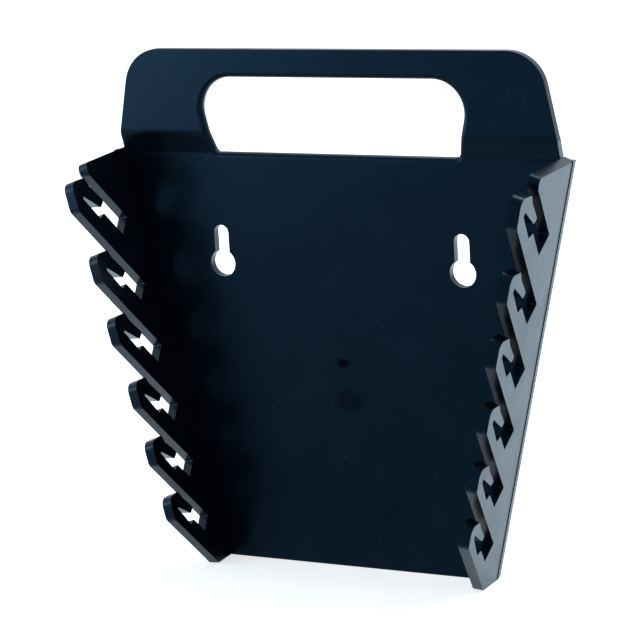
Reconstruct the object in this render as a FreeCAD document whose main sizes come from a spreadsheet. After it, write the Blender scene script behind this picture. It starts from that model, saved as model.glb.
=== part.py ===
import FreeCAD, Part
import os
from math import radians, sin

import Sketcher
from FreeCAD import Placement, Rotation, Vector

# Wall rack for six wrenches: one moulding. A tapered back plate with two keyholes carries
# a hand hold on top, and a flange along each slanted side, cut into six graded spring hooks.
# Origin: on the wall face, midway between the keyhole heads. X is right, Z is up and the
# front faces -Y. All sizes are in millimetres and degrees.

SIZES = {
    # back plate
    "plate_thickness": 3.3,
    "foot_drop": 113.4,
    "foot_half_width": 55.85,
    "shoulder_rise": 41.4,
    "side_taper": 12.7,
    "foot_corner_radius": 1.5,
    "back_edge_radius": 0.9,
    # keyholes
    "keyhole_half_spacing": 47.9,
    "keyhole_head_radius": 5.0,
    "keyhole_neck_radius": 2.9,
    "keyhole_neck_rise": 11.4,
    # hand hold, set forward of the plate by a shallow bend
    "handle_offset": 2.4,
    "bend_rise": 7.2,
    "bend_lower_radius": 4.0,
    "bend_upper_radius": 9.0,
    "handle_half_width": 86.2,
    "handle_side_lean": 11.3,
    "handle_corner_radius": 14.6,
    "shoulder_corner_radius": 1.2,
    "grip_height": 10.3,
    "opening_height": 27.9,
    "opening_half_width": 54.5,
    "opening_corner_radius": 11.8,
    "opening_foot_radius": 1.8,
    "opening_front_radius": 1.8,
    "opening_back_radius": 0.7,
    # side flanges
    "rim_step": 0.25,
    "flange_thickness": 4.0,
    "flange_lean": 1.6,
    "wall_draft": 7.0,
    "flange_foot_depth": 12.0,
    "flange_top_depth": 28.8,
    "flange_top_fall": 0.9,
    "top_front_flat": 0.4,
    "top_brow_radius": 2.0,
    # every slot: its back corner stands off the plate, its walls slope down and back
    "seat_depth": 10.3,
    "last_seat_rise": 18.2,
    "slot_slope": 46.8,
    # the largest hook: back and up from its front lower corner, or down where named a drop;
    # the drops of the catch are the same for all hooks
    "head_height": 10.1,
    "heel_back": 8.5,
    "throat_back": 10.5,
    "throat_height": 6.8,
    "tongue_back": 14.9,
    "tongue_drop": 1.2,
    "tip_length": 2.3,
    "tip_height": 0.3,
    "notch_back": 4.2,
    "notch_height": 3.3,
    "notch_width": 1.6,
    "notch_lean": 0.7,
    "catch_foot_back": 12.4,
    "catch_foot_drop": 5.8,
    "catch_length": 3.4,
    "catch_drop": 4.7,
    # roundings of the hooks
    "brow_radius": 3.2,
    "lip_radius": 3.0,
    "heel_radius": 0.9,
    "tip_radius": 0.8,
    "seat_radius": 0.4,
}

# Hook 1 is at the top. For each: width of its seat, reach of the hook in front of the plate,
# and its size next to the largest hook. The pitches lead from each seat to the next, and
# share out the side between the first seat and the last.
GRADED = {
    "seat_pitch": (25.4, 23.9, 23.0, 22.0, 21.6),
    "seat_width": (9.1, 8.7, 8.7, 8.4, 8.3, 7.8),
    "hook_reach": (42.0, 39.1, 38.7, 36.3, 35.9, 34.2),
    "hook_scale": (1.0, 0.94, 0.91, 0.87, 0.83, 0.78),
}

HOOKS = len(GRADED["seat_width"])

# Cutting outlines reach past the sheet by its own thickness.
PAST = "Sizes.plate_thickness"
NEAR = 1e-3

# An edge runs along a direction while the angle between them stays below this.
SLANT_ANGLE_LIMIT = 60


def write_sizes(doc):
    sheet = doc.addObject("Spreadsheet::Sheet", "Sizes")
    names = dict(SIZES)
    for name, values in GRADED.items():
        for number, value in enumerate(values, 1):
            names[f"{name}_{number}"] = value
    for row, (name, value) in enumerate(names.items(), 1):
        sheet.set(f"A{row}", name)
        sheet.set(f"B{row}", str(value))
        sheet.setAlias(f"B{row}", name)
    doc.recompute()
    return sheet


def origin_plane(body, role):
    return next(f for f in body.Origin.OriginFeatures if f.Role == role)


def add_sketch(body, name, support):
    sketch = body.newObject("Sketcher::SketchObject", name)
    sketch.AttachmentSupport = [(support, "")]
    sketch.MapMode = "FlatFace"
    return sketch


def draw_polygon(sketch, corners):
    """Closed outline; each corner is a pair of expressions for its place in the sketch."""
    places = [tuple(sketch.evalExpression(text) for text in corner) for corner in corners]
    points = [Vector(float(x), float(y), 0) for x, y in places]
    count = len(points)
    sides = [Part.LineSegment(points[i], points[(i + 1) % count]) for i in range(count)]
    sketch.addGeometry(sides, False)
    joined = [Sketcher.Constraint("Coincident", i, 2, (i + 1) % count, 1) for i in range(count)]
    sketch.addConstraint(joined)
    for i, corner in enumerate(corners):
        for axis, text, value in zip("XY", corner, (points[i].x, points[i].y)):
            placed = Sketcher.Constraint(f"Distance{axis}", -1, 1, i, 1, value)
            index = sketch.addConstraint(placed)
            sketch.setExpression(f"Constraints[{index}]", text)


def add_pad(body, name, sketch, length, flipped=False):
    pad = body.newObject("PartDesign::Pad", name)
    pad.Profile = sketch
    pad.Reversed = flipped
    pad.setExpression("Length", length)
    body.Document.recompute()
    return pad


def add_pocket(body, name, sketch):
    volume_before = body.Shape.Volume
    pocket = body.newObject("PartDesign::Pocket", name)
    pocket.Profile = sketch
    pocket.Type = "ThroughAll"
    pocket.Midplane = True
    body.Document.recompute()
    if not pocket.Shape.Volume < volume_before - NEAR:
        raise RuntimeError(f"{name} cuts nothing")
    return pocket


def edges_at(shape, places, along):
    """Names of the straight edges through the given places that run about along a direction."""
    found = []
    for number, edge in enumerate(shape.Edges, 1):
        start = edge.Vertexes[0].Point
        run = edge.Vertexes[-1].Point - start
        if run.Length < NEAR or edge.Length - run.Length > NEAR:
            continue
        course = run / run.Length
        if course.cross(along).Length > sin(radians(SLANT_ANGLE_LIMIT)):
            continue
        if any((place - start).cross(course).Length < NEAR for place in places):
            found.append(f"Edge{number}")
    return found


def add_fillet(body, name, places, along, radius):
    base = body.Tip
    names = edges_at(base.Shape, places, along)
    if len(names) < len(places):
        raise RuntimeError(f"{name} finds {len(names)} edges of {len(places)}")
    fillet = body.newObject("PartDesign::Fillet", name)
    fillet.Base = (base, names)
    fillet.setExpression("Radius", radius)
    body.Document.recompute()
    return fillet


def sketch_places(sketch, indices):
    """Corners of a drawn outline, by their number, in the body's frame."""
    return [sketch.Placement.multVec(sketch.Geometry[i].StartPoint) for i in indices]


def model_sheet(body):
    """Plate and hand hold as one bent sheet, seen from the side, trimmed to its outline."""
    half_turn = "atan(Sizes.handle_offset / Sizes.bend_rise) / 2"
    shift = f"Sizes.plate_thickness * tan({half_turn})"
    front = "-Sizes.plate_thickness"
    lower = "Sizes.shoulder_rise"
    upper = "Sizes.shoulder_rise + Sizes.bend_rise"
    foot = "-Sizes.foot_drop"
    top = "Sizes.shoulder_rise + Sizes.opening_height + Sizes.grip_height"
    section = add_sketch(body, "SheetSection", origin_plane(body, "YZ_Plane"))
    draw_polygon(section, [
        (front, foot),
        (front, lower),
        (f"{front} - Sizes.handle_offset", upper),
        (f"{front} - Sizes.handle_offset", top),
        ("-Sizes.handle_offset", top),
        ("-Sizes.handle_offset", f"{upper} + {shift}"),
        ("0", f"{lower} + {shift}"),
        ("0", foot),
    ])
    shoulder = ("Sizes.foot_half_width + Sizes.rim_step"
                " + (Sizes.foot_drop + Sizes.shoulder_rise) * tan(Sizes.side_taper * 1 deg)")
    stock = f"max({shoulder}; Sizes.handle_half_width) + {PAST}"
    add_pad(body, "SheetPad", section, stock)
    across = Vector(1, 0, 0)
    add_fillet(body, "LowerBend", sketch_places(section, (1, 6)), across, "Sizes.bend_lower_radius")
    add_fillet(body, "UpperBend", sketch_places(section, (2, 5)), across, "Sizes.bend_upper_radius")

    below = f"{foot} - {PAST}"
    above = f"{top} + {PAST}"
    side_at_top = ("Sizes.handle_half_width - (Sizes.opening_height + Sizes.grip_height"
                   " - Sizes.bend_rise) * tan(Sizes.handle_side_lean * 1 deg)")
    waste = add_sketch(body, "OutsideOutline", origin_plane(body, "XZ_Plane"))
    draw_polygon(waste, [
        ("Sizes.foot_half_width + Sizes.rim_step", foot),
        (shoulder, lower),
        ("Sizes.handle_half_width", lower),
        ("Sizes.handle_half_width", upper),
        (side_at_top, top),
        (side_at_top, above),
        (f"{stock} + {PAST}", above),
        (f"{stock} + {PAST}", below),
        ("Sizes.foot_half_width + Sizes.rim_step", below),
    ])
    add_pocket(body, "OutlineTrim", waste)
    through = Vector(0, 1, 0)
    add_fillet(body, "FootCorner", sketch_places(waste, (0,)), through, "Sizes.foot_corner_radius")
    add_fillet(body, "BackEdge", sketch_places(waste, (0,)), across, "Sizes.back_edge_radius")
    add_fillet(body, "ShoulderCorner", sketch_places(waste, (2,)), through,
               "Sizes.shoulder_corner_radius")
    add_fillet(body, "HandleCorner", sketch_places(waste, (4,)), through,
               "Sizes.handle_corner_radius")


def soften_opening(body, sketch):
    """Rounded edges round the hand opening, in front and at the back."""
    rise = float(sketch.evalExpression("Sizes.shoulder_rise + Sizes.opening_height"))
    edges = (
        ("OpeningFront", "Sizes.plate_thickness + Sizes.handle_offset", "front"),
        ("OpeningBack", "Sizes.handle_offset", "back"),
    )
    for name, depth, side in edges:
        place = Vector(0, -float(sketch.evalExpression(depth)), rise)
        add_fillet(body, name, [place], Vector(1, 0, 0), f"Sizes.opening_{side}_radius")


def bore(body, name, radius, rise):
    """Round hole through the plate, above or at the keyhole's centre."""
    circle = add_sketch(body, name, origin_plane(body, "XZ_Plane"))
    centre = ("Sizes.keyhole_half_spacing", rise)
    x, y = (float(circle.evalExpression(text)) for text in centre)
    circle.addGeometry(Part.Circle(Vector(x, y, 0), Vector(0, 0, 1), SIZES[radius]), False)
    constraints = (
        (Sketcher.Constraint("DistanceX", -1, 1, 0, 3, x), centre[0]),
        (Sketcher.Constraint("DistanceY", -1, 1, 0, 3, y), centre[1]),
        (Sketcher.Constraint("Radius", 0, SIZES[radius]), f"Sizes.{radius}"),
    )
    for constraint, expression in constraints:
        index = circle.addConstraint(constraint)
        circle.setExpression(f"Constraints[{index}]", expression)
    add_pocket(body, f"{name}Cut", circle)


def model_openings(body):
    """Hand opening and keyhole, right half of the rack."""
    through = Vector(0, 1, 0)
    foot_width = ("Sizes.opening_half_width"
                  " - Sizes.opening_height * tan(Sizes.side_taper * 1 deg)")
    foot = "Sizes.shoulder_rise"
    top = "Sizes.shoulder_rise + Sizes.opening_height"
    opening = add_sketch(body, "HandOpening", origin_plane(body, "XZ_Plane"))
    draw_polygon(opening, [
        (f"-{PAST}", foot),
        (foot_width, foot),
        ("Sizes.opening_half_width", top),
        (f"-{PAST}", top),
    ])
    add_pocket(body, "HandOpeningCut", opening)
    add_fillet(body, "OpeningTopCorner", sketch_places(opening, (2,)), through,
               "Sizes.opening_corner_radius")
    add_fillet(body, "OpeningFootCorner", sketch_places(opening, (1,)), through,
               "Sizes.opening_foot_radius")
    soften_opening(body, opening)

    bore(body, "KeyholeHead", "keyhole_head_radius", "0")
    bore(body, "KeyholeNeckEnd", "keyhole_neck_radius", "Sizes.keyhole_neck_rise")
    neck = add_sketch(body, "KeyholeNeck", origin_plane(body, "XZ_Plane"))
    left = "Sizes.keyhole_half_spacing - Sizes.keyhole_neck_radius"
    right = "Sizes.keyhole_half_spacing + Sizes.keyhole_neck_radius"
    neck_end = "Sizes.keyhole_neck_rise"
    draw_polygon(neck, [(left, "0"), (right, "0"), (right, neck_end), (left, neck_end)])
    add_pocket(body, "KeyholeNeckCut", neck)


def flange_top():
    """Rise of the flange's top end along the slanted side."""
    return ("(Sizes.foot_drop + Sizes.shoulder_rise) / cos(Sizes.side_taper * 1 deg)"
            " - Sizes.rim_step")


def slot_rise(depth):
    """Rise of a slot's upper wall from its seat to a depth in front of the plate."""
    return f"({depth} - Sizes.seat_depth) * tan(Sizes.slot_slope * 1 deg)"


def top_lip_rise():
    """Lower front corner of the top piece, clear of the rounding above it."""
    lip_run = "Sizes.lip_radius * tan((90 - Sizes.slot_slope) / 2 * 1 deg)"
    return (f"{flange_top()} - Sizes.flange_top_fall"
            f" - Sizes.top_brow_radius - Sizes.top_front_flat - {lip_run}")


def seat_rise(number):
    """Rise of a seat: the pitches share out the side between the first seat and the last."""
    first = f"({top_lip_rise()} - {slot_rise('Sizes.flange_top_depth')})"
    pitches = [f"Sizes.seat_pitch_{n}" for n in range(1, HOOKS)]
    below = " + ".join(pitches[number - 1:]) or "0"
    whole = " + ".join(pitches)
    return f"Sizes.last_seat_rise + ({first} - Sizes.last_seat_rise) * ({below}) / ({whole})"


def hook_corners(number):
    """Corners of one hook by kind, from its seat forward, round the head and to its lip."""
    scale = f"Sizes.hook_scale_{number}"
    reach = f"Sizes.hook_reach_{number}"
    if number < HOOKS:
        lip_rise = f"{seat_rise(number + 1)} + {slot_rise(reach)}"
    else:
        slope = "tan(Sizes.slot_slope * 1 deg)"
        lip_rise = f"Sizes.rim_step + ({reach} - Sizes.flange_foot_depth) * {slope}"

    def at(kind, back, rise):
        return kind, f"{reach} - {scale} * ({back})", f"{lip_rise} + {scale} * ({rise})"

    seat = seat_rise(number)
    width = f"Sizes.seat_width_{number}"
    return [
        ("seat_top", "Sizes.seat_depth", seat),
        ("seat_foot", f"Sizes.seat_depth + {width} * sin(Sizes.slot_slope * 1 deg)",
         f"{seat} - {width} * cos(Sizes.slot_slope * 1 deg)"),
        at("catch", "Sizes.catch_foot_back + Sizes.catch_length", f"-Sizes.catch_drop / {scale}"),
        at("catch_foot", "Sizes.catch_foot_back", f"-Sizes.catch_foot_drop / {scale}"),
        at("notch_foot", "Sizes.notch_back", "Sizes.notch_height"),
        at("notch_top", "Sizes.notch_back + Sizes.notch_lean",
           "Sizes.notch_height + Sizes.notch_width"),
        at("tongue", "Sizes.tongue_back", "-Sizes.tongue_drop"),
        at("tip", "Sizes.tongue_back + Sizes.tip_length", "Sizes.tip_height"),
        at("throat", "Sizes.throat_back", "Sizes.throat_height"),
        at("heel", "Sizes.heel_back", "Sizes.head_height"),
        at("brow", "0", "Sizes.head_height"),
        at("lip", "0", "0"),
    ]


ROUNDED_CORNERS = {
    "top_brow_radius": ("top_brow",),
    "brow_radius": ("brow",),
    "lip_radius": ("lip",),
    "heel_radius": ("heel",),
    "tip_radius": ("tongue", "tip"),
    "seat_radius": ("seat_top", "seat_foot", "catch", "catch_foot"),
}


def flange_corners():
    """Outline of a flange: top piece, the hooks downward, then the foot."""
    root = "-Sizes.plate_thickness / 2"
    top = flange_top()
    corners = [
        ("root", root, top),
        ("top_brow", "Sizes.flange_top_depth", f"{top} - Sizes.flange_top_fall"),
        ("lip", "Sizes.flange_top_depth", top_lip_rise()),
    ]
    for number in range(1, HOOKS + 1):
        corners += hook_corners(number)
    corners += [
        ("foot", "Sizes.flange_foot_depth", "Sizes.rim_step"),
        ("root", root, "Sizes.rim_step"),
    ]
    return corners


def model_flange(body):
    """Right flange: its outline lies on a plane along the slanted side, leaning inward."""
    slope = body.newObject("PartDesign::Plane", "SideSlope")
    slope.AttachmentSupport = [(origin_plane(body, "YZ_Plane"), "")]
    slope.MapMode = "FlatFace"
    slope.AttachmentOffset = Placement(Vector(), Rotation(Vector(1, 0, 0), SIZES["side_taper"]))
    slope.setExpression("AttachmentOffset.Base.x", "-Sizes.plate_thickness")
    slope.setExpression("AttachmentOffset.Base.y", "-Sizes.foot_drop")
    slope.setExpression("AttachmentOffset.Base.z", "Sizes.foot_half_width")
    slope.setExpression("AttachmentOffset.Rotation.Angle", "Sizes.side_taper")
    profile = add_sketch(body, "FlangeOutline", slope)
    inward = 180 - SIZES["flange_lean"]
    profile.AttachmentOffset = Placement(Vector(), Rotation(Vector(0, 1, 0), inward))
    profile.setExpression("AttachmentOffset.Rotation.Angle", "180 - Sizes.flange_lean")
    body.Document.recompute()

    corners = flange_corners()
    draw_polygon(profile, [(depth, rise) for kind, depth, rise in corners])
    pad = add_pad(body, "FlangePad", profile, "Sizes.flange_thickness")
    pad.setExpression("TaperAngle", "Sizes.wall_draft")
    body.Document.recompute()

    across = profile.Placement.Rotation.multVec(Vector(0, 0, 1))
    for radius, kinds in ROUNDED_CORNERS.items():
        indices = [i for i, corner in enumerate(corners) if corner[0] in kinds]
        name = radius.title().replace("_", "").replace("Radius", "Rounding")
        add_fillet(body, name, sketch_places(profile, indices), across, f"Sizes.{radius}")


def mirror_half(body):
    mirror = body.newObject("PartDesign::Mirrored", "OtherHalf")
    mirror.MirrorPlane = (origin_plane(body, "YZ_Plane"), [""])
    mirror.TransformMode = "Whole shape"
    body.Tip = mirror
    body.Document.recompute()


def check_document(doc):
    for item in doc.Objects:
        if {"Invalid", "Error"} & set(item.State):
            raise RuntimeError(f"{item.Name} failed: {item.State}")


def main():
    doc = FreeCAD.newDocument("WrenchRack")
    write_sizes(doc)
    body = doc.addObject("PartDesign::Body", "rack")
    body.Label = "rack"
    model_sheet(body)
    model_openings(body)
    model_flange(body)
    mirror_half(body)
    body.Placement = Placement()
    doc.recompute()
    check_document(doc)
    if body.Shape.isNull() or not body.Shape.isValid() or len(body.Shape.Solids) != 1:
        raise RuntimeError("the rack is not one valid solid")
    os.makedirs("parts", exist_ok=True)
    body.Shape.exportStep(f"parts/{body.Label}.step")
    box = body.Shape.BoundBox
    print(f"rack {box.XLength:.1f} x {box.YLength:.1f} x {box.ZLength:.1f} mm,"
          f" {body.Shape.Volume / 1000:.1f} cm3, {len(body.Shape.Faces)} faces")


main()
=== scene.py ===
from math import atan, radians

import bpy
from mathutils import Matrix, Vector


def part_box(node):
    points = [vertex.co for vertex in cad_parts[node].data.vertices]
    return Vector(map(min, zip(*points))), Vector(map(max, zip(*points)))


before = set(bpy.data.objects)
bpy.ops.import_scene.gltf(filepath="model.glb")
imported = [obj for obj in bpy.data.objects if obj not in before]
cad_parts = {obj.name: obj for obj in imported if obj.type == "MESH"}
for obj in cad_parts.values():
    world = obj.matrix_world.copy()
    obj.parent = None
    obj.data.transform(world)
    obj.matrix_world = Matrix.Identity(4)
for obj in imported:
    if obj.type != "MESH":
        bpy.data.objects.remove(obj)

# Wrench rack: one moulding in semi-gloss black plastic with a navy cast, standing on a pale
# studio floor. Lengths are in metres. X is right, Z is up and the front faces -Y; the origin
# lies on the wall face, midway between the keyhole heads.

MM = 0.001

# camera, as the photograph was taken
CAMERA_PLACE = Vector((0.40258, -0.82952, 0.19661))
CAMERA_RIGHT = Vector((0.8993, 0.4337, -0.0563))
CAMERA_UP = Vector((-0.0499, 0.2296, 0.9720))
FRAME_PIXELS = 640
FOCAL_PIXELS = 2602.1
CLIP_NEAR = 0.01
CLIP_FAR = 50.0

# marks of the moulding, as (x, z) on the front of the rack; a dull mark has its half size and
# the share of the gloss that it lacks
EJECTOR_MARKS = ((-71.0 * MM, 65.6 * MM), (71.6 * MM, 63.4 * MM))
EJECTOR_RADIUS = 3.5 * MM
EJECTOR_LINE = 0.25 * MM
DULL_MARKS = (
    ((-1.1 * MM, -35.4 * MM), (3.2 * MM, 2.3 * MM), 0.9),
    ((0.5 * MM, -50.0 * MM), (7.0 * MM, 6.0 * MM), 0.45),
    ((-0.5 * MM, -27.0 * MM), (12.0 * MM, 2.0 * MM), 0.15),
)
# marks show only where Y is less than this
MARKS_FRONT = -2.0 * MM

# colours and gloss of the plastic
NAVY_BLACK = (0.0007, 0.0008, 0.0018)
NAVY_GREY = (0.0012, 0.0016, 0.0032)
DUST = (0.15, 0.18, 0.21)
GLOSS_TINT = (0.045, 0.188, 0.355)
GLOSS_LEVEL = 0.5
HAZE_ROUGHNESS = (0.27, 0.35)
SCUFF_ROUGHNESS = 0.07
DUST_ROUGHNESS = 0.4

# noises of the plastic, each as scale, detail and roughness
CLOUD_NOISE = (28.0, 3.0, 0.6)
HAZE_NOISE = (60.0, 4.0, 0.65)
SCUFF_NOISE = (1.0, 2.0, 0.5)
GRAIN_NOISE = (2600.0, 2.0, 0.6)
WAVE_NOISE = (45.0, 1.0, 0.5)

# scales of the scuffs along X, Y and Z, which make them long and level
SCUFF_SCALES = (90.0, 90.0, 1500.0)

# a noise starts to show at the first value and shows in full at the second
MOTTLE_RANGE = (0.35, 0.75)
SCUFF_RANGE = (0.62, 0.80)

# dust specks
DUST_PITCH = 7.5 * MM
DUST_RADIUS = 0.32 * MM
DUST_COVER = 0.6

# relief of the plastic, each height in units of the step; the ejector rings are sunk
RELIEF_STEP = 0.02 * MM
RELIEF_STRENGTH = 0.6
GRAIN_HEIGHT = 0.02
WAVE_HEIGHT = 1.2
RING_HEIGHT = -2.5

# bevel of the edges that turn by more than an angle
EDGE_WIDTH = 0.18 * MM
EDGE_SEGMENTS = 2
EDGE_TURN = radians(35)

# colours of the studio
FLOOR_COLOUR = (0.80, 0.80, 0.80)
DAYLIGHT = (0.76, 0.92, 1.0)
COOL_LIGHT = (0.45, 0.80, 1.0)
WHITE = (1.0, 1.0, 1.0)
COOL_WHITE = (0.90, 1.0, 1.10)

# floor, whose glow grows with the distance from a place in front of the rack: for the camera
# from the near lift to the far lift, and for a gloss from none to 1
FLOOR_REACH = 4.0
FRONT_CENTRE = (-0.15, -0.45, 0.0)
FRONT_START = 0.36
FRONT_END = 0.55
FAR_AWAY = 0.9
NEAR_LIFT = 0.62
FAR_LIFT = 1.0

# strength of the sky as a light, and as the camera, a gloss or a glass sees it
SKY_FILL = 0.30
SKY_SEEN = 1.0

# softboxes: name, place, aim, width and height, power in watts, colour
SOFTBOXES = (
    ("overhead", (0.0, 0.35, 1.0), (0.0, 0.0, 0.0), (0.85, 0.7), 8, DAYLIGHT),
    ("left", (-0.90, -0.85, 0.22), (-0.1, 0.0, 0.05), (0.7, 0.64), 9, DAYLIGHT),
    ("behind", (0.95, 0.45, 0.90), (0.15, 0.25, -0.11), (0.8, 0.6), 18, COOL_LIGHT),
)


def opaque(colour):
    return (*colour, 1.0)


class Shading:
    """Short way to lay out shader nodes."""

    def __init__(self, owner, output):
        owner.use_nodes = True
        self.tree = owner.node_tree
        self.tree.nodes.clear()
        self.output = self.node(output)

    def node(self, kind, **settings):
        made = self.tree.nodes.new(kind)
        for name, value in settings.items():
            setattr(made, name, value)
        return made

    def link(self, source, target):
        self.tree.links.new(source, target)

    def feed(self, socket, value):
        """Link a socket to another, or set it to a plain value."""
        if isinstance(value, bpy.types.NodeSocket):
            self.link(value, socket)
        else:
            socket.default_value = value

    def math(self, operation, *values):
        made = self.node("ShaderNodeMath", operation=operation)
        for socket, value in zip(made.inputs, values):
            self.feed(socket, value)
        return made.outputs[0]

    def chain(self, operation, values):
        """One operation from the first value through to the last."""
        result = values[0]
        for value in values[1:]:
            result = self.math(operation, result, value)
        return result

    def total(self, *values):
        return self.chain("ADD", values)

    def product(self, *values):
        return self.chain("MULTIPLY", values)

    def ramp(self, value, low, high, out_low=0.0, out_high=1.0):
        """Smooth step of a value between two limits."""
        made = self.node("ShaderNodeMapRange", interpolation_type="SMOOTHSTEP")
        for name, setting in (("Value", value), ("From Min", low), ("From Max", high),
                              ("To Min", out_low), ("To Max", out_high)):
            self.feed(made.inputs[name], setting)
        return made.outputs["Result"]

    def stretch(self, vector, scales):
        made = self.node("ShaderNodeVectorMath", operation="MULTIPLY")
        self.feed(made.inputs[0], vector)
        self.feed(made.inputs[1], scales)
        return made.outputs["Vector"]

    def noise(self, vector, scale, detail, roughness):
        made = self.node("ShaderNodeTexNoise")
        for name, setting in (("Vector", vector), ("Scale", scale), ("Detail", detail),
                              ("Roughness", roughness)):
            self.feed(made.inputs[name], setting)
        return made.outputs["Fac"]

    def specks(self, vector, pitch, radius):
        """Small round specks, one to each cell of a given pitch; 1 in their middle."""
        made = self.node("ShaderNodeTexVoronoi")
        self.feed(made.inputs["Vector"], vector)
        self.feed(made.inputs["Scale"], 1 / pitch)
        return self.ramp(made.outputs["Distance"], 0.0, radius / pitch, 1.0, 0.0)

    def mix_colour(self, factor, first, second):
        """Blend of two colours, each plain or from a socket."""
        made = self.node("ShaderNodeMix", data_type="RGBA")
        self.feed(made.inputs["Factor"], factor)
        for name, colour in (("A", first), ("B", second)):
            self.feed(made.inputs[name], opaque(colour) if isinstance(colour, tuple) else colour)
        return made.outputs["Result"]

    def lookers(self):
        """Two masks: 1 where the camera looks, and 1 where a gloss or a glass does."""
        path = self.node("ShaderNodeLightPath")
        mirrored = self.math("MAXIMUM", path.outputs["Is Glossy Ray"],
                             path.outputs["Is Transmission Ray"])
        return path.outputs["Is Camera Ray"], mirrored


def new_material(name):
    material = bpy.data.materials.new(name)
    return material, Shading(material, "ShaderNodeOutputMaterial")


def front_offsets(shade, place, centre):
    """Distances from a centre on the front, along X and Z."""
    return [shade.math("SUBTRACT", place.outputs[axis], middle)
            for axis, middle in zip("XZ", centre)]


def square_sum(shade, values):
    return shade.total(*(shade.product(value, value) for value in values))


def ring_mask(shade, place, centre, radius, width):
    """Thin circle round a centre on the front, seen along Y."""
    away = shade.math("SQRT", square_sum(shade, front_offsets(shade, place, centre)))
    off = shade.math("ABSOLUTE", shade.math("SUBTRACT", away, radius))
    return shade.ramp(off, 0.0, width, 1.0, 0.0)


def spot_mask(shade, place, centre, half_size, strength):
    """Oval spot on the front, strongest in its middle."""
    shares = [shade.math("DIVIDE", offset, half)
              for offset, half in zip(front_offsets(shade, place, centre), half_size)]
    return shade.ramp(square_sum(shade, shares), 0.0, 1.0, strength, 0.0)


def plastic_material():
    """Dark plastic whose tinted gloss gives it the navy cast."""
    material, shade = new_material("navy_black_plastic")
    where = shade.node("ShaderNodeTexCoord").outputs["Object"]
    place = shade.node("ShaderNodeSeparateXYZ")
    shade.link(where, place.inputs[0])
    front = shade.math("LESS_THAN", place.outputs["Y"], MARKS_FRONT)
    dust = shade.specks(where, DUST_PITCH, DUST_RADIUS)

    gloss = shade.node("ShaderNodeBsdfPrincipled")
    shade.link(gloss.outputs["BSDF"], shade.output.inputs["Surface"])
    gloss.inputs["Specular Tint"].default_value = opaque(GLOSS_TINT)
    dull = shade.total(*(spot_mask(shade, place, *mark) for mark in DULL_MARKS))
    lack = shade.product(dull, front, GLOSS_LEVEL)
    shade.link(shade.math("SUBTRACT", GLOSS_LEVEL, lack), gloss.inputs["Specular IOR Level"])

    cloud = shade.ramp(shade.noise(where, *CLOUD_NOISE), *MOTTLE_RANGE)
    colour = shade.mix_colour(cloud, NAVY_BLACK, NAVY_GREY)
    colour = shade.mix_colour(shade.product(dust, DUST_COVER), colour, DUST)
    shade.link(colour, gloss.inputs["Base Color"])

    haze = shade.ramp(shade.noise(where, *HAZE_NOISE), *MOTTLE_RANGE, *HAZE_ROUGHNESS)
    scuffs = shade.noise(shade.stretch(where, SCUFF_SCALES), *SCUFF_NOISE)
    scuffs = shade.ramp(scuffs, *SCUFF_RANGE, 0.0, SCUFF_ROUGHNESS)
    roughness = shade.total(haze, scuffs, shade.product(dust, DUST_ROUGHNESS))
    shade.link(roughness, gloss.inputs["Roughness"])

    rings = shade.total(*(ring_mask(shade, place, centre, EJECTOR_RADIUS, EJECTOR_LINE)
                          for centre in EJECTOR_MARKS))
    height = shade.total(shade.product(shade.noise(where, *GRAIN_NOISE), GRAIN_HEIGHT),
                         shade.product(shade.noise(where, *WAVE_NOISE), WAVE_HEIGHT),
                         shade.product(rings, front, RING_HEIGHT))
    bump = shade.node("ShaderNodeBump")
    bump.inputs["Strength"].default_value = RELIEF_STRENGTH
    bump.inputs["Distance"].default_value = RELIEF_STEP
    shade.link(height, bump.inputs["Height"])
    shade.link(bump.outputs["Normal"], gloss.inputs["Normal"])
    return material


def floor_material():
    """Pale floor, lifted to white for the camera; a gloss sees it plain in front of the rack."""
    material, shade = new_material("pale_floor")
    matte = shade.node("ShaderNodeBsdfDiffuse")
    matte.inputs["Color"].default_value = opaque(FLOOR_COLOUR)
    where = shade.node("ShaderNodeTexCoord").outputs["Object"]
    away = shade.node("ShaderNodeVectorMath", operation="DISTANCE")
    shade.link(where, away.inputs[0])
    away.inputs[1].default_value = FRONT_CENTRE
    distance = away.outputs["Value"]
    camera, mirrored = shade.lookers()
    for_camera = shade.ramp(distance, FRONT_START, FAR_AWAY, NEAR_LIFT, FAR_LIFT)
    for_gloss = shade.ramp(distance, FRONT_START, FRONT_END)
    glow = shade.node("ShaderNodeEmission")
    shade.link(shade.mix_colour(camera, COOL_WHITE, WHITE), glow.inputs["Color"])
    lift = shade.total(shade.product(camera, for_camera), shade.product(mirrored, for_gloss))
    shade.link(lift, glow.inputs["Strength"])
    both = shade.node("ShaderNodeAddShader")
    shade.link(matte.outputs[0], both.inputs[0])
    shade.link(glow.outputs[0], both.inputs[1])
    shade.link(both.outputs[0], shade.output.inputs["Surface"])
    return material


def dress_rack(rack):
    """Plastic and finely broken edges on the CAD piece."""
    rack.data.materials.clear()
    rack.data.materials.append(plastic_material())
    edges = rack.modifiers.new("edges", "BEVEL")
    edges.width = EDGE_WIDTH
    edges.segments = EDGE_SEGMENTS
    edges.limit_method = "ANGLE"
    edges.angle_limit = EDGE_TURN


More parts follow.
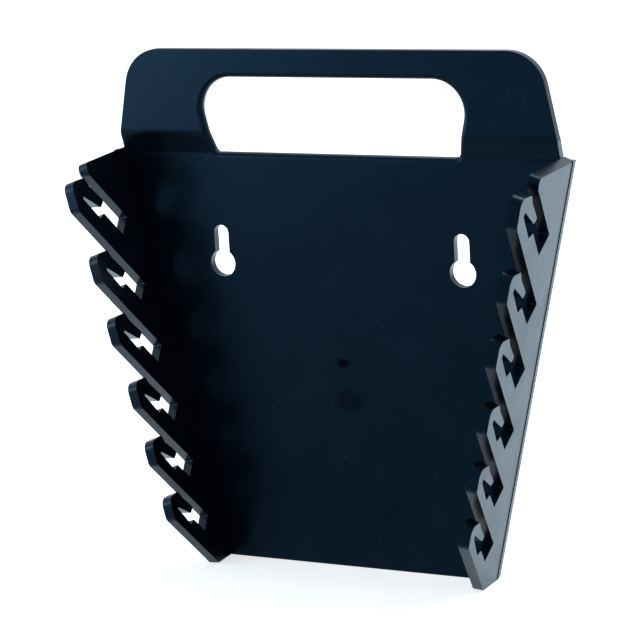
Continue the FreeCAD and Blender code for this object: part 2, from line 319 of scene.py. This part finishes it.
def add_floor(height):
    reach = FLOOR_REACH
    corners = [(-reach, -reach, height), (reach, -reach, height),
               (reach, reach, height), (-reach, reach, height)]
    mesh = bpy.data.meshes.new("floor")
    mesh.from_pydata(corners, [], [(0, 1, 2, 3)])
    floor = bpy.data.objects.new("floor", mesh)
    bpy.context.scene.collection.objects.link(floor)
    floor.data.materials.append(floor_material())


def add_softbox(name, place, aim, size, power, colour):
    light = bpy.data.lights.new(name, "AREA")
    light.shape = "RECTANGLE"
    light.size, light.size_y = size
    light.energy = power
    light.color = colour
    lamp = bpy.data.objects.new(name, light)
    bpy.context.scene.collection.objects.link(lamp)
    lamp.location = place
    lamp.rotation_euler = (Vector(aim) - Vector(place)).to_track_quat("-Z", "Y").to_euler()


def light_studio():
    """Even sky and the softboxes."""
    world = bpy.data.worlds.new("studio")
    bpy.context.scene.world = world
    shade = Shading(world, "ShaderNodeOutputWorld")
    sky = shade.node("ShaderNodeBackground")
    camera, mirrored = shade.lookers()
    seen = shade.product(shade.total(camera, mirrored), SKY_SEEN - SKY_FILL)
    shade.link(shade.total(seen, SKY_FILL), sky.inputs["Strength"])
    shade.link(shade.mix_colour(camera, COOL_WHITE, WHITE), sky.inputs["Color"])
    shade.link(sky.outputs[0], shade.output.inputs["Surface"])
    for softbox in SOFTBOXES:
        add_softbox(*softbox)


def add_camera():
    scene = bpy.context.scene
    data = bpy.data.cameras.new("camera")
    camera = bpy.data.objects.new("camera", data)
    scene.collection.objects.link(camera)
    right = CAMERA_RIGHT.normalized()
    back = right.cross(CAMERA_UP).normalized()
    up = back.cross(right)
    turn = Matrix((right, up, back)).transposed().to_4x4()
    camera.matrix_world = Matrix.Translation(CAMERA_PLACE) @ turn
    data.sensor_fit = "HORIZONTAL"
    data.angle = 2 * atan(FRAME_PIXELS / 2 / FOCAL_PIXELS)
    data.clip_start = CLIP_NEAR
    data.clip_end = CLIP_FAR
    scene.camera = camera


def main():
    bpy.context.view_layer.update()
    dress_rack(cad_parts["rack"])
    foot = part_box("rack")[0].z
    add_floor(foot)
    light_studio()
    add_camera()
    bpy.context.scene.view_settings.view_transform = "Standard"


main()
